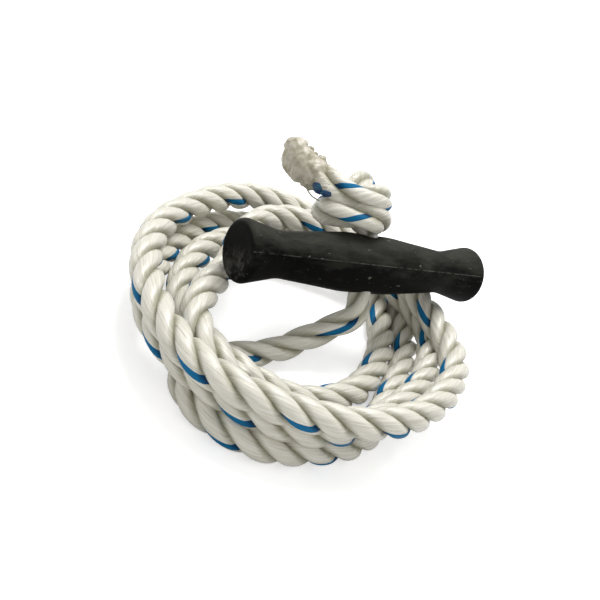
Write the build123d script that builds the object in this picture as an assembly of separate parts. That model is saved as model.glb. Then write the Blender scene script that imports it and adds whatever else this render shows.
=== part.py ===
from build123d import *
from math import pi, radians, sin, cos, tan
import os

# A tow rope handle: one moulded grip, threaded on the end of a three-strand rope.
# A knot stops the rope at the far side of the grip, and the rest of it lies in a loose coil.
# Millimetres. +X runs along the grip, +Z is up, the origin is the centre of the grip.

# ---- driving dimensions: grip ------------------------------------------------------
GRIP_LENGTH = 136.0       # over the two flat ends
FLARE_DIA = 27.7          # flared ends, at the crest of the rounded rim
RIM_ROUND = 2.9           # rounding of the rim into the flat end
WAIST_DIA = 20.2          # the corner where the two cones of a waist would meet
WAIST_FROM_END = 20.2     # from the end face to that corner
WAIST_ROUND = 22.0        # the two cones run into each other over this radius
BULGE_DIA = 27.0          # straight middle stretch
BULGE_LENGTH = 25.4
BULGE_ROUND = 60.0        # straight middle to cone
BORE_TILT = 35.5          # lean of the cross bore from upright, towards +Y
BORE_EDGE_ROUND = 0.8     # soft edge of the moulded bore

# ---- driving dimensions: rope ------------------------------------------------------
ROPE_DIA = 12.7
SHANK_DIA = 11.0          # the rope is squeezed where it passes the bore
LEAD_DIA = 12.0           # slack-laid stretch between the grip and the coil
BORE_CLEARANCE = 0.08     # radial, shank to bore wall
SEAT_GAP = 0.3            # knot to grip, and grip to coil
SHANK_BELOW = 1.0         # the shank stands out this far under the grip
LEAD_START_RUN = 7.5      # the slack stretch goes on along the bore this far
LEAD_POINTS = [           # then down to the ground and out to the coil
    (-4.0, -13.5, -24.5), (-16.0, -13.0, -32.5), (-32.0, -15.0, -41.0),
    (-48.0, -17.5, -42.9), (-60.0, -18.5, -42.9), (-71.5, -20.0, -42.9),
]

# ---- driving dimensions: stopper knot and tail ---------------------------------------
KNOT_WRAPS = 3            # turns seen side by side along the knot
KNOT_WRAP_PITCH = 11.8
KNOT_DIA = 29.0           # across the wraps
KNOT_OFFSET = 7.5         # centre of the knot from the bore's axis
TAIL_SEALED_DIA = 11.6    # melted lump at the very end
TAIL_POINTS = [           # above the knot's centre, beside the bore and in front of it
    (4.7, -13.0, 2.0), (10.2, -20.0, 3.0), (17.2, -27.5, 3.5), (25.7, -34.5, 5.0),
]

# ---- driving dimensions: coil --------------------------------------------------------
COIL_LAYERS = 3
LAYER_RISE = 11.05        # a turn beds a little into the one below
COIL_CENTRE = (-23.0, -1.5)
COIL_ACROSS = (173.0, 167.0)     # outside, along X and along Y
EYE_CENTRE = (-20.0, -3.0)       # the open middle
EYE_ACROSS = (94.0, 66.0)

# ---- derived ---------------------------------------------------------------------------
half_length = GRIP_LENGTH / 2
flare_r = FLARE_DIA / 2
bulge_r = BULGE_DIA / 2
rope_r = ROPE_DIA / 2
bore_r = SHANK_DIA / 2 + BORE_CLEARANCE
bore_axis = Vector(0, sin(radians(BORE_TILT)), cos(radians(BORE_TILT)))
knot_side = Vector(cos(radians(30)), -sin(radians(30)) * bore_axis.Z, sin(radians(30)) * bore_axis.Y)
knot_base = bulge_r + SEAT_GAP
knot_centre = knot_base + KNOT_DIA / 2
shank_low = -(bulge_r + SHANK_BELOW)
coil_top = -(flare_r + SEAT_GAP)
coil_height = ROPE_DIA + (COIL_LAYERS - 1) * LAYER_RISE
floor = coil_top - coil_height


def on_bore(distance, side=0.0, front=0.0):
    """A place by its distance along the bore's axis, beside it and in front of it."""
    facing = knot_side.cross(bore_axis)
    return bore_axis * distance + knot_side * side + facing * front


# The slack stretch, from the bore's lower mouth to inside the coil.
lead_route = [on_bore(shank_low), on_bore(shank_low - LEAD_START_RUN)]
lead_route += [Vector(*point) for point in LEAD_POINTS]

# The tail, from inside the knot to its sealed tip.
tail_route = [on_bore(knot_centre + above, side, front) for above, side, front in TAIL_POINTS]


def largest_radii(points):
    """One radius for each corner: as large as its two runs allow."""
    radii = []
    for before, corner, after in zip(points, points[1:], points[2:]):
        turn = (corner - before).get_angle(after - corner)
        run = min((corner - before).length, (after - corner).length)
        radii.append(0.45 * run / tan(radians(turn / 2)))
    return radii


def rope_tube(name, points, diameter):
    """Rope that lies free: straight runs joined by tangent arcs, of one round section."""
    radii = largest_radii(points)
    path = FilletPolyline(*points, radius=radii)
    section = Plane(origin=path @ 0, z_dir=path % 0) * Circle(diameter / 2)
    tube = sweep(section, path=path)
    plain_volume = pi * (diameter / 2) ** 2 * path.length
    print(name, "length", round(path.length, 1), "radii", [round(r, 1) for r in radii],
          "volume ratio", round(tube.volume / plain_volume, 4))
    return tube


def grip_profile():
    """Half section of the grip above its axis, with every corner rounded."""
    waist_r = WAIST_DIA / 2
    waist = half_length - WAIST_FROM_END
    bulge = BULGE_LENGTH / 2
    flare_slope = (flare_r - waist_r) / (WAIST_FROM_END - RIM_ROUND)
    corner_r = waist_r + flare_slope * WAIST_FROM_END
    upper = [
        (half_length, corner_r), (waist, waist_r), (bulge, bulge_r),
        (-bulge, bulge_r), (-waist, waist_r), (-half_length, corner_r),
    ]
    face = make_face(Polyline((half_length, 0), *upper, (-half_length, 0), close=True))
    rounds = [(half_length, RIM_ROUND), (waist, WAIST_ROUND), (bulge, BULGE_ROUND)]
    for place, radius in rounds:
        corners = [v for v in face.vertices() if abs(abs(v.X) - place) < 0.01 and v.Y > 1]
        face = fillet(corners, radius)
    return face


def make_grip():
    body = revolve(grip_profile(), axis=Axis.X)
    body -= Plane(origin=(0, 0, 0), z_dir=bore_axis) * Cylinder(bore_r, FLARE_DIA * 2)
    mouths = [e for e in body.edges() if abs(e.center().dot(bore_axis)) > bulge_r * 0.8
              and abs(e.center().X) < bore_r]
    return fillet(mouths, BORE_EDGE_ROUND)


def make_shank():
    length = knot_base - shank_low
    return Plane(origin=on_bore(shank_low), z_dir=bore_axis) * Cylinder(
        SHANK_DIA / 2, length, align=(Align.CENTER, Align.CENTER, Align.MIN))


def make_knot():
    """The knot's outer shape: wraps side by side, with a short stem down to the shank."""
    core_r = KNOT_DIA / 2 - rope_r
    wraps = Sketch() + [
        Pos(KNOT_WRAP_PITCH * (i - (KNOT_WRAPS - 1) / 2), core_r) * Circle(rope_r)
        for i in range(KNOT_WRAPS)
    ]
    half_span = KNOT_WRAP_PITCH * (KNOT_WRAPS - 1) / 2
    core = Pos(0, core_r / 2) * Rectangle(2 * half_span, core_r)
    caps = Sketch() + [Pos(side * half_span, core_r / 2) * Rectangle(2 * rope_r, core_r) for side in (-1, 1)]
    upper_half = Pos(0, KNOT_DIA) * Rectangle(8 * KNOT_DIA, 2 * KNOT_DIA)
    section = (wraps + core + caps) & upper_half
    barrel = revolve(section, axis=Axis.X)
    place = Plane(origin=on_bore(knot_centre, -KNOT_OFFSET), x_dir=knot_side, z_dir=bore_axis)
    stem = Plane(origin=on_bore(knot_base), z_dir=bore_axis) * Cylinder(
        SHANK_DIA / 2, KNOT_DIA / 2, align=(Align.CENTER, Align.CENTER, Align.MIN))
    return place * barrel + stem


def make_tail():
    """The rope's short end, from the knot's surface to its melted tip."""
    tube = rope_tube("rope_tail", tail_route, ROPE_DIA) - make_knot()
    tip = tail_route[-1]
    return tube + Pos(tip) * Sphere(TAIL_SEALED_DIA / 2)


def make_lead():
    """The slack-laid stretch, from under the grip to the coil's inner wall."""
    return rope_tube("rope_lead", lead_route, LEAD_DIA) - make_coil()


def make_coil():
    """One closed ring of the coil's outer shape, rounded like the turns it stands for."""
    outside = Pos(*COIL_CENTRE, floor) * Ellipse(COIL_ACROSS[0] / 2, COIL_ACROSS[1] / 2)
    eye = Pos(*EYE_CENTRE, floor) * Ellipse(EYE_ACROSS[0] / 2, EYE_ACROSS[1] / 2)
    ring = extrude(outside - eye, coil_height, dir=(0, 0, 1))
    rims = ring.edges().filter_by(lambda e: abs(e.center().Z - floor) < 0.01
                                  or abs(e.center().Z - coil_top) < 0.01)
    return fillet(rims, rope_r - 0.35)


nodes = {
    "grip": make_grip(),
    "rope_through_grip": make_shank(),
    "stopper_knot": make_knot(),
    "rope_tail": make_tail(),
    "rope_lead": make_lead(),
    "rope_coil": make_coil(),
}
for node, shape in nodes.items():
    export_step(shape, f"parts/{node}.step")
    print(node, "solids", len(shape.solids()), "volume", round(shape.volume))
print("floor", round(floor, 2), "coil top", round(coil_top, 2))
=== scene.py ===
# %% [markdown]
# # A tow rope handle
#
# The object is a moulded black grip on the end of a white three-strand rope. The rope passes
# through the middle of the grip, is stopped by a knot on the far side, and the rest of it lies
# in a loose coil that the grip rests on. This lesson builds the rope first, because everything
# else sits on it, then the grip, and then the finishes.

# %% Load the frame
from math import cos, hypot, pi, radians, sin

import bmesh
import bpy
import numpy as np
from mathutils import Matrix, Vector, noise


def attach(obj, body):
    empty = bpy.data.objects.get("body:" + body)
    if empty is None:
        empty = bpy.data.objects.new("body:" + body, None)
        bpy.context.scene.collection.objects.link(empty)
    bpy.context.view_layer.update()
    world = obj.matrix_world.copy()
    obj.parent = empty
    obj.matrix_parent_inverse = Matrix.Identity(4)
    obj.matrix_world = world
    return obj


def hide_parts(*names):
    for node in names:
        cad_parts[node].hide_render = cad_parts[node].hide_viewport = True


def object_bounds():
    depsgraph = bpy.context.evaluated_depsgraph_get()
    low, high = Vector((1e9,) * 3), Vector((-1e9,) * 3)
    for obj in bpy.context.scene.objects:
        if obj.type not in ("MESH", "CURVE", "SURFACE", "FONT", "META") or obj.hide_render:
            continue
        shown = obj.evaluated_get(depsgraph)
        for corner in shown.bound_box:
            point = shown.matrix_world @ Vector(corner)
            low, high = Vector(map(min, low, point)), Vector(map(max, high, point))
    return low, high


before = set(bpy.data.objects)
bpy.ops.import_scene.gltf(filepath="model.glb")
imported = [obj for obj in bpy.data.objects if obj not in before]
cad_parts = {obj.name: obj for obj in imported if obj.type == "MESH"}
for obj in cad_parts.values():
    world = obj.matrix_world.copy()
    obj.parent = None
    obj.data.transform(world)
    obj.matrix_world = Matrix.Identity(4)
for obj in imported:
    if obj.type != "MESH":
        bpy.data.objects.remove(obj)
cad_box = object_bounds()
MM = 0.001
print("CAD nodes:", sorted(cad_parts))

# %% [markdown]
# ## The camera
#
# The handle is seen from its left, from about 31 degrees above the ground, and the camera is
# rolled so that the grip lies almost level across the picture. Three angles and a place say
# all of that, and a matrix of the camera's own right, up and back puts them together.

# %% Camera
CAMERA_PLACE = Vector((-243.9, -239.1, 170.6)) * MM
AZIMUTH, DOWN, ROLL = radians(42.7), radians(30.9), radians(29.5)
SENSOR_WIDTH, FOCAL_LENGTH = 36.0, 49.6

ahead = Vector((cos(DOWN) * sin(AZIMUTH), cos(DOWN) * cos(AZIMUTH), -sin(DOWN)))
level_right = Vector((cos(AZIMUTH), -sin(AZIMUTH), 0))
level_up = level_right.cross(ahead)
camera_right = level_right * cos(ROLL) + level_up * sin(ROLL)
camera_up = level_up * cos(ROLL) - level_right * sin(ROLL)
camera_data = bpy.data.cameras.new("camera")
camera_data.lens = FOCAL_LENGTH
camera_data.sensor_width = SENSOR_WIDTH
camera = bpy.data.objects.new("camera", camera_data)
turned = Matrix((camera_right, camera_up, -ahead)).transposed().to_4x4()
camera.matrix_world = Matrix.Translation(CAMERA_PLACE) @ turned
bpy.context.collection.objects.link(camera)
bpy.context.scene.camera = camera
print("camera looks along", [round(x, 3) for x in ahead])

# %% [markdown]
# ## The rope's route
#
# The rope leaves the grip along its cross bore, drops to the ground as a slack stretch, and then
# winds round four times. One could bend a straight rope by hand for each turn, but a route is
# easier to change. The slack stretch is a list of points. The coil is a loop: each turn is given
# by its distance from the middle and its height, every thirty degrees, and the loop turns that
# into points. All of them are control points of one smooth NURBS spline.

# %% Route of the slack stretch and the coil
ROPE_DIA = 12.7 * MM
BORE_TILT = radians(35.5)
bore_axis = Vector((0, sin(BORE_TILT), cos(BORE_TILT)))
LOWER_MOUTH = -14.5       # distances along the bore, from the grip's middle
START_RUN = 7.5           # the slack stretch goes on along the bore this far
JOIN_IN_BORE = -6.0       # unseen place inside the bore where the two stretches of rope meet
SLACK_POINTS = [
    (-4, -13.5, -24.5), (-16, -13, -32.5), (-32, -15, -41), (-48, -17.5, -42.7),
    (-62, -18.5, -42.6), (-77, -22, -42), (-87, -30.5, -42), (-89, -41, -42),
    (-84.5, -53, -42), (-73.5, -64.5, -42),
]
COIL_MIDDLE = (-18.0, -4.5)
STEP = 30
FIRST_ANGLE = 240
TURNS = [
    # distance from the middle and height, every 30 degrees from the front left of each turn
    [(75.5, -42), (64.5, -42), (51, -42), (52.5, -42), (68, -42), (90.5, -42),
     (86, -42), (80, -36.5), (72.5, -34), (72, -33), (80.5, -31.5), (80, -31.5)],
    [(76, -31.5), (63, -31.5), (58, -31.5), (63.5, -31.5), (76.5, -31.5), (72, -28.5),
     (60, -30.5), (59, -31.5), (59, -31.5), (59, -31.5), (64.5, -31.5), (60.5, -32)],
    [(49, -40), (40, -42), (37.5, -42), (40, -42), (52, -42), (77.5, -42),
     (83.5, -23), (80.5, -18.5), (75.5, -20), (79, -20.5), (83, -20.5), (87.5, -20.5)],
    [(78.5, -20.5), (73, -20.5), (70, -20.5), (72.5, -20.5), (67, -20.5), (72, -16.5),
     (68, -18), (61, -17.8), (47, -19), (41, -20.5), (59, -20.5)],
]
END_POINTS = [(-89, -27, -22), (-80, -40.5, -26.5), (-72.5, -46, -31)]
# A spline's curve runs inside its control points, so the points stand out by this much.
stand_out = 1 / cos(radians(STEP / 2))


def coil_points():
    """The coil's control points, one for each station of each turn."""
    stations = [station for turn in TURNS for station in turn]
    for count, (distance, height) in enumerate(stations):
        angle = radians(FIRST_ANGLE + STEP * count)
        x = COIL_MIDDLE[0] + distance * stand_out * cos(angle)
        y = COIL_MIDDLE[1] + distance * stand_out * sin(angle)
        yield (x, y, height)


mouth = bore_axis * LOWER_MOUTH
run_end = bore_axis * (LOWER_MOUTH - START_RUN)
out_of_grip = [tuple(bore_axis * JOIN_IN_BORE), tuple(mouth), tuple(run_end)]
route = out_of_grip + SLACK_POINTS + list(coil_points()) + END_POINTS
print("control points:", len(route))


# %% Read a smooth line from a spline
PER_SPAN = 24             # places worked out on the curve for each control point


def smooth_line(name, points, spacing):
    """Even steps along the NURBS spline that has these control points, in metres."""
    data = bpy.data.curves.new(name, "CURVE")
    data.dimensions = "3D"
    data.resolution_u = PER_SPAN
    spline = data.splines.new("NURBS")
    spline.points.add(len(points) - 1)
    for place, (x, y, z) in zip(spline.points, points):
        place.co = (x * MM, y * MM, z * MM, 1)
    spline.order_u = 3    # it stays at 2, straight runs, if it is set before the points are there
    spline.use_endpoint_u = True
    holder = bpy.data.objects.new(name, data)
    mesh = bpy.data.meshes.new_from_object(holder)
    raw = np.array([v.co for v in mesh.vertices])
    bpy.data.objects.remove(holder)
    along = np.concatenate([[0], np.cumsum(np.linalg.norm(np.diff(raw, axis=0), axis=1))])
    steps = np.linspace(0, along[-1], int(along[-1] / spacing) + 1)
    line = np.stack([np.interp(steps, along, raw[:, k]) for k in range(3)], axis=1)
    return line, steps


RING_SPACING = 1.5 * MM
line, along = smooth_line("rope_route", route, RING_SPACING)
print("rope from the grip to its end:", round(along[-1], 3), "m in", len(line), "steps")

# %% How close do the turns lie?
STRIDE = 6                # looking at every sixth step is close enough
SAME_TURN = 60 * MM       # places nearer than this along the rope are on the same turn
FAR_OFF = 1               # a distance in metres that nothing in the coil reaches
SHOWN = 8


def nearest_turns(line, along):
    """Pairs of places on different turns and the distance between them, the smallest first."""
    places, marks = line[::STRIDE], along[::STRIDE]
    gaps = np.linalg.norm(places[:, None] - places[None], axis=2)
    gaps[np.abs(marks[:, None] - marks[None]) < SAME_TURN] = FAR_OFF
    order = np.argsort(gaps, axis=None)[:2 * SHOWN]
    return [(places[i], places[j], gaps[i, j])
            for i, j in zip(*np.unravel_index(order, gaps.shape)) if i < j]


for one, other, gap in nearest_turns(line, along):
    print("gap", round(gap / MM, 1), "mm at", np.round(one / MM), np.round(other / MM))

# %% [markdown]
# ## Laying the strands
#
# A laid rope is three strands, each a round bundle of yarns, wound round each other like a
# right-hand screw. The yarns are twisted the other way in each strand, which is why they look
# parallel to the rope on the outside. A plain tube with a bump pattern would have a smooth
# outline, and the real one is knobbly, so each strand is its own tube. Its ring centre circles
# the route, and its columns of faces run along the yarns: a grid rolled up and closed at its seam.

# %% Frames that follow a line without twisting
def carried_frames(line):
    """Tangent and two cross directions at each step, carried along with the least turning."""
    ahead = np.gradient(line, axis=0)
    ahead /= np.linalg.norm(ahead, axis=1)[:, None]
    side = np.zeros_like(ahead)
    start = np.cross(ahead[0], (1.0, 0.0, 0.0))
    side[0] = start / np.linalg.norm(start)
    for i in range(1, len(line)):
        carried = side[i - 1] - ahead[i] * np.dot(side[i - 1], ahead[i])
        side[i] = carried / np.linalg.norm(carried)
    return ahead, side, np.cross(ahead, side)


# %% From a bmesh to a piece
def finished(name, work):
    """A smooth shaded piece with its faces pointing outwards. It uses up the bmesh."""
    bmesh.ops.recalc_face_normals(work, faces=work.faces)
    mesh = bpy.data.meshes.new(name)
    work.to_mesh(mesh)
    work.free()
    mesh.shade_smooth()
    piece = bpy.data.objects.new(name, mesh)
    bpy.context.collection.objects.link(piece)
    return piece


# %% A grid of faces rolled up into a closed tube
SAME_PLACE = 0.0005 * MM


def rolled_grid(name, places, size_u, size_v, values=None):
    """A closed piece from rows of places. The UV runs `size_u` round and `size_v` along, in mm."""
    rows, columns = len(places), len(places[0]) - 1
    work = bmesh.new()
    marks = work.loops.layers.uv.new("UVMap")
    bmesh.ops.create_grid(work, x_segments=columns, y_segments=rows - 1, size=1, calc_uvs=True)
    work.verts.ensure_lookup_table()
    for vert, place in zip(work.verts, np.reshape(places, (-1, 3))):
        vert.co = place
    if values is not None:
        crown = work.verts.layers.float.new("crown")
        for vert, value in zip(work.verts, np.ravel(values)):
            vert[crown] = value
    for face in work.faces:
        for loop in face.loops:
            u, v = loop[marks].uv
            loop[marks].uv = (u * size_u, v * size_v)
    bmesh.ops.remove_doubles(work, verts=work.verts, dist=SAME_PLACE)
    ends = [e for e in work.edges if e.is_boundary]
    if ends:
        bmesh.ops.holes_fill(work, edges=ends, sides=0)
    return finished(name, work)


# %% One strand
YARNS = 6
COLUMNS_PER_YARN = 8
COLUMNS = YARNS * COLUMNS_PER_YARN
YARN_RELIEF = 0.13 * MM   # depth of the grooves between yarns
YARN_BULGE = 0.6          # below 1 a yarn's top is wide and its grooves are narrow
YARN_TURNS = 2.0          # yarn turns in a strand for each turn of the lay, the other way
STRAND_SHARE = 0.236      # a strand's radius as a share of the rope's diameter
CENTRE_SHARE = 0.264      # how far its centre lies from the rope's
FLATNESS = 0.82           # below 1 the strand's crest is flatter than a circle
SPREAD = 1.08             # and it is a little wider than it is high


def strand_tube(name, line, phase, width, strand, yarn_turns=YARN_TURNS, yarn_start=0.0):
    """One strand of the rope along a line. `phase` and `width` are given for each step."""
    ahead, side, other = carried_frames(line)
    turn = phase + 2 * pi * strand / 3
    out = side * np.cos(turn)[:, None] + other * np.sin(turn)[:, None]
    centre = line + out * (CENTRE_SHARE * width)[:, None]
    run = np.gradient(centre, axis=0)
    run /= np.linalg.norm(run, axis=1)[:, None]
    across = np.cross(run, out)
    column = np.arange(COLUMNS + 1)
    in_yarn = (column % COLUMNS_PER_YARN) / COLUMNS_PER_YARN
    relief = YARN_RELIEF * (1 - np.sin(pi * in_yarn) ** YARN_BULGE)
    angle = 2 * pi * column[None, :] / COLUMNS - yarn_turns * phase[:, None] + yarn_start
    radius = (STRAND_SHARE * width)[:, None] - relief[None, :]
    high = np.sign(np.cos(angle)) * np.abs(np.cos(angle)) ** FLATNESS
    places = (centre[:, None] + out[:, None] * (high * radius)[..., None]
              + across[:, None] * (SPREAD * np.sin(angle) * radius)[..., None])
    size_round = 2 * pi * STRAND_SHARE * width.mean() / MM
    size_along = np.linalg.norm(np.diff(centre, axis=0), axis=1).sum() / MM
    return rolled_grid(name, places, size_round, size_along, np.cos(angle))


# %% Lay of the rope: how fast it turns and how thick it is along its length
LAY = 42 * MM             # one turn of a strand in the coil
SLACK_LAY = 50 * MM       # in the slack stretch
SLACK_SHARE = 0.95        # and how much thinner the rope is there
SLACK_FROM, SLACK_TO = 0.060, 0.110
BORE_SHARE = 0.866        # the bore squeezes it
BORE_EASE = 12 * MM       # and it swells again over this length
COIL_SHARE = 1.09         # laid down loosely, it is a little thicker than its nominal size
COIL_YARN = -0.16         # where the marked yarn starts
FIRST_TWIST = 3.0         # how far round the strands start, in radians
LOST_TWIST = 2 * pi       # coiling has taken about one turn out of the rope in all


def between(values, low, high):
    """0 below low, 1 above high, and a smooth step between them."""
    t = np.clip((values - low) / (high - low), 0, 1)
    return t * t * (3 - 2 * t)


def phase_of(along, lay):
    """The angle that the strands have turned through at each step."""
    turning = 2 * pi / lay
    return np.concatenate([[0], np.cumsum((turning[1:] + turning[:-1]) / 2 * np.diff(along))])


slack = 1 - between(along, SLACK_FROM, SLACK_TO)
lay = LAY + (SLACK_LAY - LAY) * slack
in_bore = (LOWER_MOUTH - JOIN_IN_BORE) * -MM
squeezed = 1 - between(along, in_bore, in_bore + BORE_EASE)
share = COIL_SHARE - (COIL_SHARE - SLACK_SHARE) * slack
width = ROPE_DIA * share * (1 - (1 - BORE_SHARE / SLACK_SHARE) * squeezed)
print("turns of the lay:", round(phase_of(along, lay)[-1] / (2 * pi), 1))

# %% Handling makes the lay and the thickness a little uneven
UNEVEN_WIDTH, WIDTH_EVERY, WIDTH_SEED = 0.02, 0.020, 3.0
UNEVEN_TWIST, TWIST_EVERY, TWIST_SEED = 0.16, 0.030, 7.0
NOISE_GAIN = 1.6          # noise seldom comes near 1, so it is turned up


def unevenness(along, every, seed):
    """Slow noise along the rope, about -1 to 1, with a bump about `every` metres."""
    return np.array([noise.noise(Vector((a / every, seed, 0.5))) for a in along]) * NOISE_GAIN


width *= 1 + UNEVEN_WIDTH * unevenness(along, WIDTH_EVERY, WIDTH_SEED)
twist = FIRST_TWIST - LOST_TWIST * along / along[-1]
phase = phase_of(along, lay) + twist + UNEVEN_TWIST * unevenness(along, TWIST_EVERY, TWIST_SEED)
strands = [strand_tube(f"rope_strand_{k + 1}", line, phase, width, k, yarn_start=COIL_YARN)
           for k in range(3)]
print("strand faces:", [len(s.data.polygons) for s in strands])

# %% [markdown]
# ## The stopper knot and the rope's short end
#
# The rope goes up through the grip and is tied in one overhand knot. It leans over as it leaves
# the bore, goes over the top, comes down behind, and passes in front of itself to the left. Then
# it goes behind the upright part and inside the one coming down, turns at the right, and comes
# back across the front as the short end. Pulling a knot tight by simulation is slow and hard to
# steer, so its route is points too. They are given beside the bore, along it and in front of it,
# as one sees the knot, and the same spline smooths them. The knot, the end and the stretch in the
# bore are one line, cut where the rope leaves the grip because they turn apart.

# %% Route of the knot and the tail
UPPER_MOUTH = 13.8
LEAN = radians(30)        # the knot's own sideways direction, against the grip's length
knot_side = Vector((cos(LEAN), -sin(LEAN) * bore_axis.z, sin(LEAN) * bore_axis.y))
knot_front = knot_side.cross(bore_axis)
KNOT_POINTS = [
    # beside, along, in front
    (0, 11, 0), (0, 15, 0), (-4, 20, 0), (-6.5, 26, -0.5), (-7, 32.5, -2), (-4, 37, -6.5),
    (-1, 37, -15), (1, 31, -21.5), (2.5, 23, -20.5), (5, 20.3, -10), (4.5, 20.4, 2),
    (1, 20.5, 11), (-8, 20.9, 13), (-17, 21.5, 11.5), (-21.5, 22.5, 0), (-17, 26, -12),
    (-8, 28, -13.5), (0, 29.3, -11), (4.2, 30, -3), (3.8, 29.6, 6), (-1, 29.2, 11),
    (-9, 28.8, 12.5), (-17, 31.5, 11.5), (-24, 35.5, 8), (-30, 39.2, 5.5), (-35, 42.3, 4),
]
KNOT_SPACING = 1.0 * MM


def at_knot(side, up, front):
    """A place in the frame, from its place beside, along and in front of the bore."""
    return knot_side * side + bore_axis * up + knot_front * front


knot_route = [tuple(bore_axis * JOIN_IN_BORE)] + [tuple(at_knot(*p)) for p in KNOT_POINTS]
knot_line, knot_along = smooth_line("knot_route", knot_route, KNOT_SPACING)
bore_run = (UPPER_MOUTH - JOIN_IN_BORE) * MM
cut = int(np.searchsorted(knot_along, bore_run))
print("rope in the knot and tail:", round(knot_along[-1] - knot_along[cut], 3), "m")

# %% Strands of the knot, the tail and the stretch in the bore
KNOT_LAY = 81 * MM        # tying has untwisted the rope here
KNOT_YARN_TURNS = 4.85    # so the yarns cross each strand more steeply
KNOT_PHASE, KNOT_YARN = 0.19, 5.23      # where its strands and their yarns start
KNOT_SHARE = 1.03
OPENED_SHARE = 1.16       # the strands open near the melted end
OPEN_FROM, OPEN_TO = 24 * MM, 6 * MM    # before the end of the line
MOUTH_EASE = 9 * MM
out_of_bore = between(knot_along, bore_run, bore_run + MOUTH_EASE)
opened = between(knot_along, knot_along[-1] - OPEN_FROM, knot_along[-1] - OPEN_TO)
knot_share = (BORE_SHARE + (KNOT_SHARE - BORE_SHARE) * out_of_bore
              + (OPENED_SHARE - KNOT_SHARE) * opened)
knot_width = ROPE_DIA * knot_share
knot_phase = phase_of(knot_along, np.full(len(knot_line), KNOT_LAY)) + KNOT_PHASE
shank_strands = [strand_tube(f"shank_strand_{k + 1}", knot_line[:cut + 1], knot_phase[:cut + 1],
                             knot_width[:cut + 1], k, KNOT_YARN_TURNS, KNOT_YARN) for k in range(3)]
knot_strands = [strand_tube(f"knot_strand_{k + 1}", knot_line[cut:], knot_phase[cut:],
                            knot_width[cut:], k, KNOT_YARN_TURNS, KNOT_YARN) for k in range(3)]
print("knot strand faces:", [len(s.data.polygons) for s in knot_strands])

# %% [markdown]
# ## The melted end
#
# The short end was cut with heat, so its yarns ran together into a lumpy mass, wider than
# the rope, and the coloured yarns left one dark spot. Metaballs would blend such lumps, but they
# are hard to place. Here each lump is a sphere pushed out and in by smooth noise, and the lumps
# overlap. A few beads stand along the edge and one loose yarn hangs out.

# %% Melted lumps
LUMP_NOISE = (0.8, 2.0, 3)      # how rough, how much finer each layer of noise is, and layers


def lump(name, place, sizes, rough, grain, seed, fine=5):
    """An uneven ball with the given half sizes along the knot's three directions."""
    work = bmesh.new()
    bmesh.ops.create_icosphere(work, subdivisions=fine, radius=1)
    centre = at_knot(*place) * MM
    for vert in work.verts:
        way = vert.co.copy()
        push = 1 + rough * noise.fractal(way * grain + Vector((seed, 0, 0)), *LUMP_NOISE)
        vert.co = centre + at_knot(*(way[k] * sizes[k] * push for k in range(3))) * MM
    return finished(name, work)


MELT = [
    # place, half sizes, roughness, grain, seed
    ((-36.4, 43.8, 3.4), (6.4, 9.0, 7.0), 0.13, 0.9, 2.0),
    ((-38.6, 49.6, 3.0), (3.6, 3.4, 3.8), 0.16, 0.9, 5.0),
    ((-32.6, 41.0, 5.0), (7.4, 8.2, 7.8), 0.12, 1.0, 9.0),
    ((-28.4, 38.0, 6.6), (6.8, 7.7, 7.9), 0.13, 1.3, 14.0),
]
SPOT = ((-24.8, 31.8, 12.0), (3.7, 3.7, 2.6), 0.12, 1.2, 21.0)
STREAK = ((-21.2, 28.9, 14.4), (3.6, 1.5, 1.5), 0.2, 1.2, 23.0)
BEADS = [
    # place, half size
    ((-33.6, 50.6, 4.0), 1.7), ((-30.6, 48.2, 5.0), 1.6), ((-28.6, 46.2, 6.0), 1.4),
    ((-25.4, 44.0, 6.5), 2.3), ((-31.4, 33.2, 5.0), 1.7),
]
BEAD_SHAPE = (1.2, 1.0, 1.1)
BEAD_ROUGH, BEAD_GRAIN, BEAD_SEED = 0.3, 1.3, 11.0
melt = [lump(f"melted_end_{i + 1}", *row) for i, row in enumerate(MELT)]
beads = [lump(f"melted_bead_{i + 1}", place, tuple(size * k for k in BEAD_SHAPE),
              BEAD_ROUGH, BEAD_GRAIN, BEAD_SEED + i, fine=4)
         for i, (place, size) in enumerate(BEADS)]
spot = lump("tracer_melt", *SPOT, fine=4)
streak = lump("tracer_streak", *STREAK, fine=4)
print("melted pieces:", len(melt + beads + [spot, streak]))

# %% One loose yarn
YARN_RADIUS = 0.35 * MM
YARN_SIDES = 12
YARN_SPACING = 0.4 * MM
YARN_ROUND = 2.0          # about its girth in mm, for the pattern
LOOSE_POINTS = [
    (-30.5, 34, 7), (-31, 31, 9.5), (-29.5, 28.5, 10.5), (-27, 26.5, 10), (-24.5, 26, 8),
]
loose_route = [tuple(at_knot(*p)) for p in LOOSE_POINTS]
loose_line, loose_along = smooth_line("loose_route", loose_route, YARN_SPACING)
_, loose_side, loose_other = carried_frames(loose_line)
ring = np.linspace(0, 2 * pi, YARN_SIDES + 1)
ring_side = (YARN_RADIUS * np.cos(ring))[None, :, None]
ring_other = (YARN_RADIUS * np.sin(ring))[None, :, None]
loose_places = (loose_line[:, None] + loose_side[:, None] * ring_side
                + loose_other[:, None] * ring_other)
loose_yarn = rolled_grid("loose_yarn", loose_places, YARN_ROUND, loose_along[-1] / MM)
print("loose yarn:", round(loose_along[-1] / MM, 1), "mm")

# %% [markdown]
# ## The grip
#
# The real grip is moulded rubber, from a mould of two halves. So it is one turned shape, with a
# fine raised line all round where the halves met, running along both sides and across both
# ends. A spin of the half section would give evenly spaced steps, too coarse for that line.
# So the section, two cones each side of a straight middle with rounded corners, is rolled up
# like the strands, with the steps close together at the raised line. The cross bore is cut last.

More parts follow.
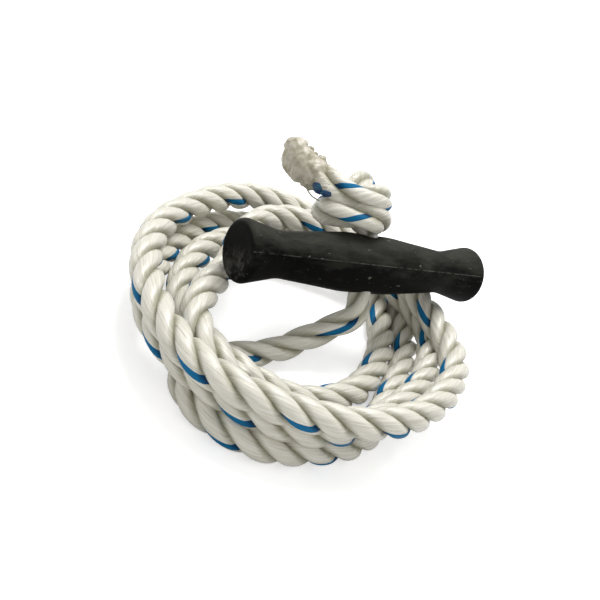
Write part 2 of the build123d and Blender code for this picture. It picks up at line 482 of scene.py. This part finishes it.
# %% Rounded half section of the grip
GRIP_LENGTH, FLARE_DIA, RIM_ROUND = 136.0, 27.7, 2.9
WAIST_DIA, WAIST_FROM_END, WAIST_ROUND = 20.2, 20.2, 22.0
BULGE_DIA, BULGE_LENGTH, BULGE_ROUND = 27.0, 25.4, 60.0
ARC_STEPS = 14
ROW_LENGTH = 1.2


def rounded(corners, radii):
    """A run of straight lines whose inner corners are replaced by arcs."""
    found = [corners[0]]
    for before, corner, after, radius in zip(corners, corners[1:], corners[2:], radii):
        corner = Vector(corner)
        back, on = (Vector(before) - corner).normalized(), (Vector(after) - corner).normalized()
        half = back.angle(on) / 2
        middle = corner + (back + on).normalized() * (radius / sin(half))
        first = (corner + back * (radius * cos(half) / sin(half))) - middle
        last = (corner + on * (radius * cos(half) / sin(half))) - middle
        for i in range(ARC_STEPS + 1):
            found.append(tuple(middle + first.slerp(last, i / ARC_STEPS) * radius))
    return found + [corners[-1]]


half_length, waist_x = GRIP_LENGTH / 2, GRIP_LENGTH / 2 - WAIST_FROM_END
flare_slope = (FLARE_DIA - WAIST_DIA) / 2 / (WAIST_FROM_END - RIM_ROUND)
corner_r = WAIST_DIA / 2 + flare_slope * WAIST_FROM_END
half_section = [(half_length, 0), (half_length, corner_r), (waist_x, WAIST_DIA / 2),
                (BULGE_LENGTH / 2, BULGE_DIA / 2), (0, BULGE_DIA / 2)]
section = rounded(half_section, [RIM_ROUND, WAIST_ROUND, BULGE_ROUND])
dense = []
for (x0, r0), (x1, r1) in zip(section, section[1:]):
    parts = max(1, int(hypot(x1 - x0, r1 - r0) / ROW_LENGTH))
    dense += [(x0 + (x1 - x0) * i / parts, r0 + (r1 - r0) * i / parts) for i in range(parts)]
dense.append(section[-1])
profile = np.array(dense + [(-x, r) for x, r in reversed(dense[:-1])])
print("rows along the grip:", len(profile))

# %% Steps round the grip
SIDES = 96
SEAM_STEPS = (-1.2, -0.7, -0.35, -0.15, 0, 0.15, 0.35, 0.7, 1.2)     # mm from the raised line
CLEAR_OF_SEAM = 0.1
seam_angles = [i * pi + s / (BULGE_DIA / 2) for i in (0, 1) for s in SEAM_STEPS]
even_angles = [2 * pi * i / SIDES for i in range(SIDES)]
plain_angles = [a for a in even_angles if abs(sin(a)) > CLEAR_OF_SEAM]
angles = np.array(sorted(a % (2 * pi) for a in seam_angles + plain_angles))
angles = np.append(angles, angles[0] + 2 * pi)
print("steps round the grip:", len(angles) - 1)

# %% The grip, rolled up
SEAM_HEIGHT = 0.16        # the raised line where the mould's halves met
SEAM_HALF_WIDTH = 0.35
SEAM_LEFT, SEAM_VARIES = 0.6, 0.5       # the share of it that wear has left, give or take
UNEVEN = 0.06             # the moulded surface isn't quite true
FADES_WITHIN = 8          # and this near the axis its unevenness fades out
NEARLY = 0.01
seam_way = Vector(np.cross((1, 0, 0), bore_axis))


def grip_place(x, r, angle):
    """A place on the grip, in metres: x along its axis, r out from it and an angle round it."""
    off_seam = abs(sin(angle)) * max(r, 0.001)
    wear = SEAM_LEFT + SEAM_VARIES * noise.noise(Vector((x * 0.35, round(angle / pi), r * 0.3)))
    height = SEAM_HEIGHT * wear * max(0.0, 1 - off_seam / SEAM_HALF_WIDTH)
    way = cos(angle) * seam_way + sin(angle) * bore_axis
    sway = UNEVEN * noise.noise(Vector((x * 0.08, way.y * 2, way.z * 2))) * min(r / FADES_WITHIN, 1)
    on_axis, on_face = r <= NEARLY, abs(x) > half_length - NEARLY
    push = height if on_face and not on_axis else 0
    out = 0 if on_face else height
    place = way * (r + (0 if on_axis else out + sway))
    return ((x + (push if x > 0 else -push)) * MM, place.y * MM, place.z * MM)


grip_places = np.array([[grip_place(x, r, a) for a in angles] for x, r in profile])
grip = rolled_grid("grip_body", grip_places, pi * BULGE_DIA, GRIP_LENGTH)

# %% The cross bore
BORE_DIA = 11.16
BORE_SIDES = 64
SLIVER = 0.01 * MM
work = bmesh.new()
bmesh.ops.create_cone(work, cap_ends=True, segments=BORE_SIDES, radius1=BORE_DIA / 2 * MM,
                      radius2=BORE_DIA / 2 * MM, depth=2 * FLARE_DIA * MM)
drill_mesh = bpy.data.meshes.new("drill")
work.to_mesh(drill_mesh)
work.free()
drill = bpy.data.objects.new("drill", drill_mesh)
drill.rotation_euler = bore_axis.to_track_quat("Z", "Y").to_euler()
bpy.context.collection.objects.link(drill)
cut_bore = grip.modifiers.new("bore", "BOOLEAN")
cut_bore.operation = "DIFFERENCE"
cut_bore.solver = "EXACT"
cut_bore.object = drill
bpy.context.view_layer.update()
bored = bpy.data.meshes.new_from_object(grip.evaluated_get(bpy.context.evaluated_depsgraph_get()))
grip.modifiers.remove(cut_bore)
bpy.data.objects.remove(drill)

# %% Clean the bore's edges
# The cut leaves a few slivers there, which are taken out.
work = bmesh.new()
work.from_mesh(bored)
bmesh.ops.dissolve_degenerate(work, dist=SLIVER, edges=work.edges)
bmesh.ops.triangulate(work, faces=[f for f in work.faces if len(f.verts) > 4])
work.to_mesh(bored)
print("edges that aren't shared by two faces:", sum(len(e.link_faces) != 2 for e in work.edges))
work.free()
grip.data = bored
grip.data.name = "grip_body"
print("grip faces:", len(grip.data.polygons))

# %% [markdown]
# ## Finishes
#
# Each finish is a small graph of nodes on the Principled shader. The helpers below keep those
# graphs short: noise, a stretch, a ramp of two colours, a mix, and a bump.

# %% Helpers for materials
BLACK, WHITE = (0, 0, 0), (1, 1, 1)


def new_material(name, roughness):
    """An empty finish and its shader."""
    made = bpy.data.materials.new(name)
    made.use_nodes = True
    shader = made.node_tree.nodes["Principled BSDF"]
    shader.inputs["Roughness"].default_value = roughness
    return made, shader


def add(made, kind, **settings):
    """A new node of a finish, with its own settings."""
    node = made.node_tree.nodes.new(kind)
    for key, value in settings.items():
        setattr(node, key, value)
    return node


def link(made, out, into):
    made.node_tree.links.new(out, into)


def noise_from(made, vector, scale, detail=3.0, rough=0.6):
    node = add(made, "ShaderNodeTexNoise")
    node.inputs["Scale"].default_value = scale
    node.inputs["Detail"].default_value = detail
    node.inputs["Roughness"].default_value = rough
    link(made, vector, node.inputs["Vector"])
    return node.outputs["Fac"]


def stretched(made, vector, times):
    node = add(made, "ShaderNodeVectorMath", operation="MULTIPLY")
    node.inputs[1].default_value = times
    link(made, vector, node.inputs[0])
    return node.outputs["Vector"]


def ramp(made, value, low, high, low_at=0.0, high_at=1.0):
    """Two colours and where the change between them starts and ends."""
    node = add(made, "ShaderNodeValToRGB")
    for stop, (at, colour) in zip(node.color_ramp.elements, ((low_at, low), (high_at, high))):
        stop.position = at
        stop.color = (*colour, 1)
    link(made, value, node.inputs["Fac"])
    return node.outputs["Color"]


def times(made, one, other):
    """One colour multiplied by another."""
    node = add(made, "ShaderNodeMix", data_type="RGBA", blend_type="MULTIPLY")
    node.inputs["Factor"].default_value = 1.0
    link(made, one, node.inputs[6])
    link(made, other, node.inputs[7])
    return node.outputs[2]


def mixed(made, share, low, high):
    """`low` where the share is 0 and `high`, a colour or a node's output, where it is 1."""
    node = add(made, "ShaderNodeMix", data_type="RGBA")
    link(made, share, node.inputs["Factor"])
    link(made, low, node.inputs[6])
    if isinstance(high, tuple):
        node.inputs[7].default_value = (*high, 1)
    else:
        link(made, high, node.inputs[7])
    return node.outputs[2]


def bump(made, height, distance, strength, before=None):
    node = add(made, "ShaderNodeBump")
    node.inputs["Distance"].default_value = distance
    node.inputs["Strength"].default_value = strength
    link(made, height, node.inputs["Height"])
    if before is not None:
        link(made, before, node.inputs["Normal"])
    return node.outputs["Normal"]


# %% Helpers for where a place lies
def distance_along(made, vector, way):
    """How far a place lies along a direction, from the frame's origin."""
    node = add(made, "ShaderNodeVectorMath", operation="DOT_PRODUCT")
    node.inputs[1].default_value = way
    link(made, vector, node.inputs[0])
    return node.outputs["Value"]


def either_way(made, value):
    """A distance without its sign."""
    node = add(made, "ShaderNodeMath", operation="ABSOLUTE")
    link(made, value, node.inputs[0])
    return node.outputs["Value"]


def scaled(made, value, factor, plus):
    """A value times a number, plus a number or a node's output."""
    node = add(made, "ShaderNodeMath", operation="MULTIPLY_ADD")
    link(made, value, node.inputs[0])
    node.inputs[1].default_value = factor
    if isinstance(plus, float):
        node.inputs[2].default_value = plus
    else:
        link(made, plus, node.inputs[2])
    return node.outputs["Value"]


# %% [markdown]
# ## Rope fibre
#
# The rope is shiny white filament: warm white, with painted shade where the strands meet, and fine
# lines that run along each yarn. The lines come from noise stretched along the strand's own UV,
# because a pattern on Object coordinates would cut across the yarns. The painted shade in the
# grooves follows the "crown" value that each strand carries, 1 on its outside and -1 next to the
# other strands. One yarn of one strand is blue, which is how such rope is marked, and it is duller
# than the white.

# %% Rope fibre, white and blue
# The second colour of each pair is painted shade, for the grooves where the strands meet.
ROPE_WHITE, WHITE_GROOVE_SHADE = (0.81, 0.79, 0.71), (0.48, 0.47, 0.37)
ROPE_BLUE, BLUE_GROOVE_SHADE = (0.0, 0.150, 0.345), (0.0, 0.045, 0.13)
FILAMENTS, WISPS = (5.0, 0.10, 1.0), (1.3, 0.06, 1.0)     # noise across, along and out of the UV


def fibre(name, colour, groove_shade, roughness):
    """Filament yarn. Its groove colour is painted shade where the strands meet."""
    made, shader = new_material(name, roughness)
    uv = add(made, "ShaderNodeUVMap", uv_map="UVMap").outputs["UV"]
    crown = add(made, "ShaderNodeAttribute", attribute_name="crown").outputs["Fac"]
    filaments = noise_from(made, stretched(made, uv, FILAMENTS), 1.0)
    wisps = noise_from(made, stretched(made, uv, WISPS), 1.0, detail=2.0)
    # Painted shade: the groove colour where the crown value falls, next to the other strands.
    body = ramp(made, crown, groove_shade, colour, 0.0, 0.60)
    lines = ramp(made, filaments, (0.82, 0.81, 0.77), WHITE, 0.34, 0.60)
    clouds = ramp(made, wisps, (0.86, 0.85, 0.81), WHITE, 0.36, 0.62)
    link(made, times(made, times(made, body, lines), clouds), shader.inputs["Base Color"])
    waves = bump(made, wisps, 0.8 * MM, 0.45)
    link(made, bump(made, filaments, 0.35 * MM, 0.6, waves), shader.inputs["Normal"])
    return made, shader


rope_white, shader = fibre("rope_white", ROPE_WHITE, WHITE_GROOVE_SHADE, 0.27)
shader.inputs["Coat Weight"].default_value = 0.35      # the filaments are glassy
shader.inputs["Coat Roughness"].default_value = 0.16
tracer_blue, shader = fibre("tracer_blue", ROPE_BLUE, BLUE_GROOVE_SHADE, 0.5)
shader.inputs["Specular IOR Level"].default_value = 0.15
print("fibre nodes:", len(rope_white.node_tree.nodes))

# %% [markdown]
# ## The melted finishes
#
# Heat turns the filament into a waxy, mottled mass, a little browner than the rope, and the blue
# into a nearly black spot. A plain colour would look like plastic, so noise mottles both, and a
# finer noise roughens the pale one.

# %% Melted fibre, pale and blue
melted, shader = new_material("melted_end", 0.38)
place_of = add(melted, "ShaderNodeTexCoord").outputs["Object"]
mottle = ramp(melted, noise_from(melted, place_of, 260.0),
              (0.30, 0.28, 0.185), (0.53, 0.485, 0.405), 0.34, 0.62)
link(melted, mottle, shader.inputs["Base Color"])
pits = noise_from(melted, place_of, 900.0)
link(melted, bump(melted, pits, 0.3 * MM, 0.25), shader.inputs["Normal"])

melted_blue, shader = new_material("melted_blue", 0.35)
place_of = add(melted_blue, "ShaderNodeTexCoord").outputs["Object"]
mottle = ramp(melted_blue, noise_from(melted_blue, place_of, 300.0),
              (0.0, 0.028, 0.105), (0.01, 0.14, 0.18), 0.48, 0.70)
link(melted_blue, mottle, shader.inputs["Base Color"])
print("melted finishes:", melted.name, melted_blue.name)

# %% [markdown]
# ## Rubber
#
# The grip is black rubber that has been handled and left outside. It is dusty in patches, and its
# upper side is painted lighter, painted light from above. It has small light flecks, and the raised
# line is worn pale here and there. Its flat ends are blacker, and the lower part of each is
# scuffed.
# An even black would hide the form. So the dusty patches and the painted lighter top come from
# noise added to the height of a place, which gives soft, cloudy edges, and each kind of wear is
# mixed over them in turn.

# %% Rubber: dusty patches, painted light on the top, and flecks
# The lighter colour is dusty patches and painted light both: the upper side takes more of it.
RUBBER_BLACK, RUBBER_DUST_AND_TOP_LIGHT = (0.0016, 0.0017, 0.0013), (0.032, 0.032, 0.026)
FLECK = (0.12, 0.12, 0.105)
rubber, shader = new_material("grip_rubber", 0.62)
place_of = add(rubber, "ShaderNodeTexCoord").outputs["Object"]
upward = distance_along(rubber, place_of, tuple(bore_axis / (BULGE_DIA * MM)))
patches = noise_from(rubber, stretched(rubber, place_of, (60.0, 160.0, 160.0)), 1.0,
                     detail=5.0, rough=0.65)
# Dusty patches from noise, plus painted light from the height, so the upper side is lighter.
dust_and_top_light = scaled(rubber, scaled(rubber, patches, 1.7, upward), 0.6, -0.2)
body = ramp(rubber, dust_and_top_light, RUBBER_BLACK, RUBBER_DUST_AND_TOP_LIGHT, 0.205, 0.58)
grains = noise_from(rubber, stretched(rubber, place_of, (300.0, 620.0, 620.0)), 1.0, detail=2.0)
speckled = mixed(rubber, ramp(rubber, grains, BLACK, WHITE, 0.70, 0.75), body, FLECK)

# %% Rubber: the raised line, worn pale
WORN = (0.085, 0.085, 0.075)
from_seam = either_way(rubber, distance_along(rubber, place_of, tuple(bore_axis / MM)))
on_seam = ramp(rubber, from_seam, WHITE, BLACK, 0.10, 0.26)
breaks = noise_from(rubber, stretched(rubber, place_of, (400.0, 60.0, 60.0)), 1.0)
worn = times(rubber, on_seam, ramp(rubber, breaks, BLACK, WHITE, 0.40, 0.58))
lined = mixed(rubber, worn, speckled, WORN)

# %% Rubber: the flat ends
END_BLACK, END_SCUFFED = (0.0012, 0.0012, 0.0010), (0.075, 0.075, 0.068)
RIM_FROM, RIM_TO = 67.2, 67.9     # along the grip, where its side turns into the flat end
on_end = add(rubber, "ShaderNodeMapRange")
on_end.inputs["From Min"].default_value = RIM_FROM
on_end.inputs["From Max"].default_value = RIM_TO
from_middle = either_way(rubber, distance_along(rubber, place_of, (1 / MM, 0, 0)))
link(rubber, from_middle, on_end.inputs["Value"])
low_side = ramp(rubber, scaled(rubber, upward, -1.0, 0.5), BLACK, WHITE, 0.40, 0.85)
scratches = noise_from(rubber, stretched(rubber, place_of, (300.0, 260.0, 260.0)), 1.0,
                       detail=6.0, rough=0.8)
scuffs = times(rubber, ramp(rubber, scratches, BLACK, WHITE, 0.46, 0.62), low_side)
ended = mixed(rubber, on_end.outputs["Result"], lined, ramp(rubber, scuffs, END_BLACK, END_SCUFFED))

# %% Rubber: colour, fine grain and a low shine
link(rubber, ended, shader.inputs["Base Color"])
grain = noise_from(rubber, place_of, 1400.0, detail=4.0)
link(rubber, bump(rubber, grain, 0.12 * MM, 0.35), shader.inputs["Normal"])
shader.inputs["Specular IOR Level"].default_value = 0.07
print("rubber nodes:", len(rubber.node_tree.nodes))

# %% Put the finishes on
for strand in strands + shank_strands + knot_strands:
    strand.data.materials.append(rope_white)
for marked in (strands[0], shank_strands[0], knot_strands[0]):
    marked.data.materials.append(tracer_blue)
    for polygon in marked.data.polygons:
        if len(polygon.vertices) == 4 and polygon.index % COLUMNS < COLUMNS_PER_YARN:
            polygon.material_index = 1
for piece in melt + beads:
    piece.data.materials.append(melted)
for piece in (spot, streak):
    piece.data.materials.append(melted_blue)
loose_yarn.data.materials.append(rope_white)
grip.data.materials.clear()
grip.data.materials.append(rubber)

# %% The last of each strand is fused too, with an uneven edge
FUSED_ROWS = 17           # steps of the line, each about 1 mm
EDGE_DEPTH, EDGE_WAVE = 3, 0.65
last_row = len(knot_line) - 1 - cut
for k, strand in enumerate(knot_strands):
    fused = len(strand.data.materials)
    strand.data.materials.append(melted)
    for polygon in strand.data.polygons:
        row, column = divmod(polygon.index, COLUMNS)
        if row > last_row - FUSED_ROWS - EDGE_DEPTH * sin(column * EDGE_WAVE + 2 * k):
            polygon.material_index = fused
print("finishes on the knot's strands:", [[m.name for m in s.data.materials] for s in knot_strands])

# %% [markdown]
# ## What each piece moves with
#
# The rope's three stretches ride on three bodies, because the knotted end turns and slides against
# the grip, and the stretch in the bore slides with it.

# %% Attach each piece to what it moves with, and hide the CAD parts
end_pieces = melt + beads + [spot, streak, loose_yarn]
for piece in strands:
    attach(piece, "handle")
for piece in shank_strands:
    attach(piece, "rope_shank")
for piece in knot_strands + end_pieces:
    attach(piece, "knotted_end")
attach(grip, "handle")
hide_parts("grip")
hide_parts("rope_coil", "rope_lead")
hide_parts("rope_through_grip")
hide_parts("stopper_knot", "rope_tail")

# %% [markdown]
# ## Ground and light
#
# A plain pale floor and a bright, even sky, so that the white rope is shaded mostly by itself, and
# one soft light high up and behind, which leaves a gloss along the strands. The floor and the sky
# look white to the camera by themselves: brighter lamps would wash out the rope.

# %% Ground
PAPER_GLOW = 0.55
PAPER_HALF_SIZE = 3
floor_mesh = bpy.data.meshes.new("floor")
work = bmesh.new()
bmesh.ops.create_grid(work, x_segments=1, y_segments=1, size=PAPER_HALF_SIZE)
work.to_mesh(floor_mesh)
work.free()
floor = bpy.data.objects.new("floor", floor_mesh)
floor.location.z = cad_box[0][2]
bpy.context.collection.objects.link(floor)
paper, shader = new_material("paper", 0.9)
shader.inputs["Base Color"].default_value = (0.8, 0.8, 0.8, 1)
# The camera sees the paper a little brighter than it is, so that its shadows stay pale.
camera_ray = add(paper, "ShaderNodeLightPath").outputs["Is Camera Ray"]
glow = add(paper, "ShaderNodeMath", operation="MULTIPLY")
glow.inputs[1].default_value = PAPER_GLOW
link(paper, camera_ray, glow.inputs[0])
link(paper, glow.outputs["Value"], shader.inputs["Emission Strength"])
shader.inputs["Emission Color"].default_value = (1, 1, 1, 1)
floor.data.materials.append(paper)
print("floor at", round(floor.location.z / MM, 1), "mm")

# %% Sky and key light
SKY_LIGHT = 0.66          # the sky lights the rope at this level, and looks white
KEY_PLACE = (0.12, 0.28, 0.9)
KEY_SIZE, KEY_ENERGY = 0.5, 9
world = bpy.data.worlds.new("world")
world.use_nodes = True
background = world.node_tree.nodes["Background"].inputs
background["Color"].default_value = (1, 1, 1, 1)
sky_ray = add(world, "ShaderNodeLightPath").outputs["Is Camera Ray"]
link(world, scaled(world, sky_ray, 1 - SKY_LIGHT, SKY_LIGHT), background["Strength"])
bpy.context.scene.world = world
key_data = bpy.data.lights.new("key", "AREA")
key_data.energy = KEY_ENERGY
key_data.size = KEY_SIZE
key = bpy.data.objects.new("key", key_data)
key.location = KEY_PLACE
key.rotation_euler = (-key.location).to_track_quat("-Z", "Y").to_euler()
bpy.context.collection.objects.link(key)
bpy.context.scene.view_settings.view_transform = "Standard"
print("key light at", [round(x, 2) for x in key.location])
